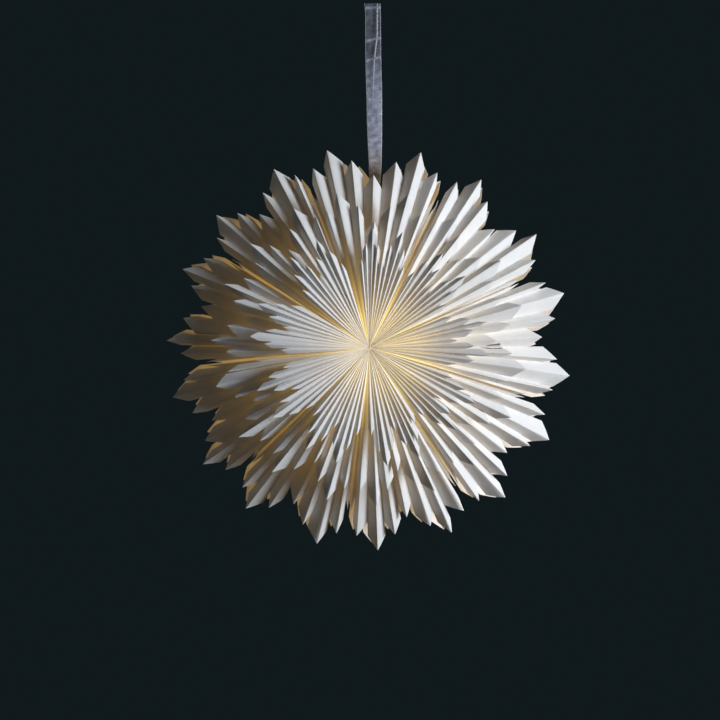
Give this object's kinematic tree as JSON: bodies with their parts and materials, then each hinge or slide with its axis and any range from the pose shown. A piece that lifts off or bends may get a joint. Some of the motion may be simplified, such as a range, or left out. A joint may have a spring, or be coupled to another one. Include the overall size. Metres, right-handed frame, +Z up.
{
  "type": "pleated paper snowflake star lantern",
  "caption": "Round many-pointed star of layered pleated paper fans, hollow and lit from inside, hanging on a doubled translucent ribbon.",
  "frame": {"origin": "top end of the ribbon, where the star is held up", "axes": "+Z up along the ribbon, -Y out of the front of the star, +X to the right seen from the front"},
  "size_m": [0.4477, 0.169, 0.6119],
  "materials": {
    "paper": "matt uncoated white paper",
    "organza": "sheer silver-grey organza with bright selvedges",
    "flex_jacket": "smooth white flex",
    "thread": "twisted white cotton",
    "holder_plastic": "moulded white plastic",
    "cap_metal": "plated screw cap",
    "opal_globe": "opal, warm and lit"
  },
  "bodies": {
    "ribbon_top": {"ribbon_end": "organza"},
    "ribbon_bend": {"ribbon_bend": "organza"},
    "ribbon": {"ribbon_front_strand": "organza", "ribbon_back_strand": "organza", "flex_upper": "flex_jacket"},
    "star_core": {"leaf_1_front_outer_fan": "paper", "leaf_1_front_mid_fan": "paper", "leaf_1_front_inner_fan": "paper", "leaf_1_back_outer_fan": "paper", "leaf_1_back_inner_fan": "paper", "seam_tape": "paper", "ribbon_tail": "organza", "front_centre_knot": "thread", "back_centre_knot": "thread", "yoke_cord": "thread", "flex_lower": "flex_jacket", "cord_grip": "holder_plastic", "lamp_holder": "holder_plastic"},
    "bulb": {"bulb_cap": "cap_metal", "bulb_globe": "opal_globe"},
    "leaf_2": {"leaf_2_front_outer_fan": "paper", "leaf_2_front_mid_fan": "paper", "leaf_2_front_inner_fan": "paper", "leaf_2_back_outer_fan": "paper", "leaf_2_back_inner_fan": "paper"},
    "leaf_3": {"leaf_3_front_outer_fan": "paper", "leaf_3_front_mid_fan": "paper", "leaf_3_front_inner_fan": "paper", "leaf_3_back_outer_fan": "paper", "leaf_3_back_inner_fan": "paper"},
    "leaf_4": {"leaf_4_front_outer_fan": "paper", "leaf_4_front_mid_fan": "paper", "leaf_4_front_inner_fan": "paper", "leaf_4_back_outer_fan": "paper", "leaf_4_back_inner_fan": "paper"},
    "leaf_5": {"leaf_5_front_outer_fan": "paper", "leaf_5_front_mid_fan": "paper", "leaf_5_front_inner_fan": "paper", "leaf_5_back_outer_fan": "paper", "leaf_5_back_inner_fan": "paper"},
    "leaf_6": {"leaf_6_front_outer_fan": "paper", "leaf_6_front_mid_fan": "paper", "leaf_6_front_inner_fan": "paper", "leaf_6_back_outer_fan": "paper", "leaf_6_back_inner_fan": "paper"},
    "leaf_7": {"leaf_7_front_outer_fan": "paper", "leaf_7_front_mid_fan": "paper", "leaf_7_front_inner_fan": "paper", "leaf_7_back_outer_fan": "paper", "leaf_7_back_inner_fan": "paper"},
    "leaf_8": {"leaf_8_front_outer_fan": "paper", "leaf_8_front_mid_fan": "paper", "leaf_8_front_inner_fan": "paper", "leaf_8_back_outer_fan": "paper", "leaf_8_back_inner_fan": "paper"},
    "leaf_9": {"leaf_9_front_outer_fan": "paper", "leaf_9_front_mid_fan": "paper", "leaf_9_front_inner_fan": "paper", "leaf_9_back_outer_fan": "paper", "leaf_9_back_inner_fan": "paper"}
  },
  "joints": [
    {"name": "sway_sideways", "type": "hinge", "parent": "ribbon_top", "child": "ribbon_bend", "pos_m": [0, 0, -0.007], "axis": [0, -1, 0], "range_deg": [-15, 15]},
    {"name": "sway_forwards", "type": "hinge", "parent": "ribbon_bend", "child": "ribbon", "pos_m": [0, 0, -0.01375], "axis": [1, 0, 0], "range_deg": [-15, 15]},
    {"name": "star_turn", "type": "hinge", "parent": "ribbon", "child": "star_core", "pos_m": [0, 0, -0.1503], "axis": [0, 0, 1], "range_deg": [-180, 180], "stiffness_Nm_per_rad": 0.02},
    {"name": "seam_open", "type": "hinge", "parent": "star_core", "child": "leaf_2", "pos_m": [-0.005, 0, -0.387], "axis": [0, -1, 0], "range_deg": [0, 8]},
    {"name": "leaf_3_follow", "type": "hinge", "parent": "star_core", "child": "leaf_3", "pos_m": [-0.005, 0, -0.387], "axis": [0, -1, 0], "range_deg": [0, 7]},
    {"name": "leaf_4_follow", "type": "hinge", "parent": "star_core", "child": "leaf_4", "pos_m": [-0.005, 0, -0.387], "axis": [0, -1, 0], "range_deg": [0, 6]},
    {"name": "leaf_5_follow", "type": "hinge", "parent": "star_core", "child": "leaf_5", "pos_m": [-0.005, 0, -0.387], "axis": [0, -1, 0], "range_deg": [0, 5]},
    {"name": "leaf_6_follow", "type": "hinge", "parent": "star_core", "child": "leaf_6", "pos_m": [-0.005, 0, -0.387], "axis": [0, -1, 0], "range_deg": [0, 4]},
    {"name": "leaf_7_follow", "type": "hinge", "parent": "star_core", "child": "leaf_7", "pos_m": [-0.005, 0, -0.387], "axis": [0, -1, 0], "range_deg": [0, 3]},
    {"name": "leaf_8_follow", "type": "hinge", "parent": "star_core", "child": "leaf_8", "pos_m": [-0.005, 0, -0.387], "axis": [0, -1, 0], "range_deg": [0, 2]},
    {"name": "leaf_9_follow", "type": "hinge", "parent": "star_core", "child": "leaf_9", "pos_m": [-0.005, 0, -0.387], "axis": [0, -1, 0], "range_deg": [0, 1]},
    {"name": "bulb_unscrew", "type": "hinge", "parent": "star_core", "child": "bulb", "pos_m": [0, 0, -0.399], "axis": [0, 0, 1], "range_deg": [0, 720]}
  ],
  "couplings": [
    {"joint": "leaf_3_follow", "follows": "seam_open", "ratio": 0.875},
    {"joint": "leaf_4_follow", "follows": "seam_open", "ratio": 0.75},
    {"joint": "leaf_5_follow", "follows": "seam_open", "ratio": 0.625},
    {"joint": "leaf_6_follow", "follows": "seam_open", "ratio": 0.5},
    {"joint": "leaf_7_follow", "follows": "seam_open", "ratio": 0.375},
    {"joint": "leaf_8_follow", "follows": "seam_open", "ratio": 0.25},
    {"joint": "leaf_9_follow", "follows": "seam_open", "ratio": 0.125}
  ]
}
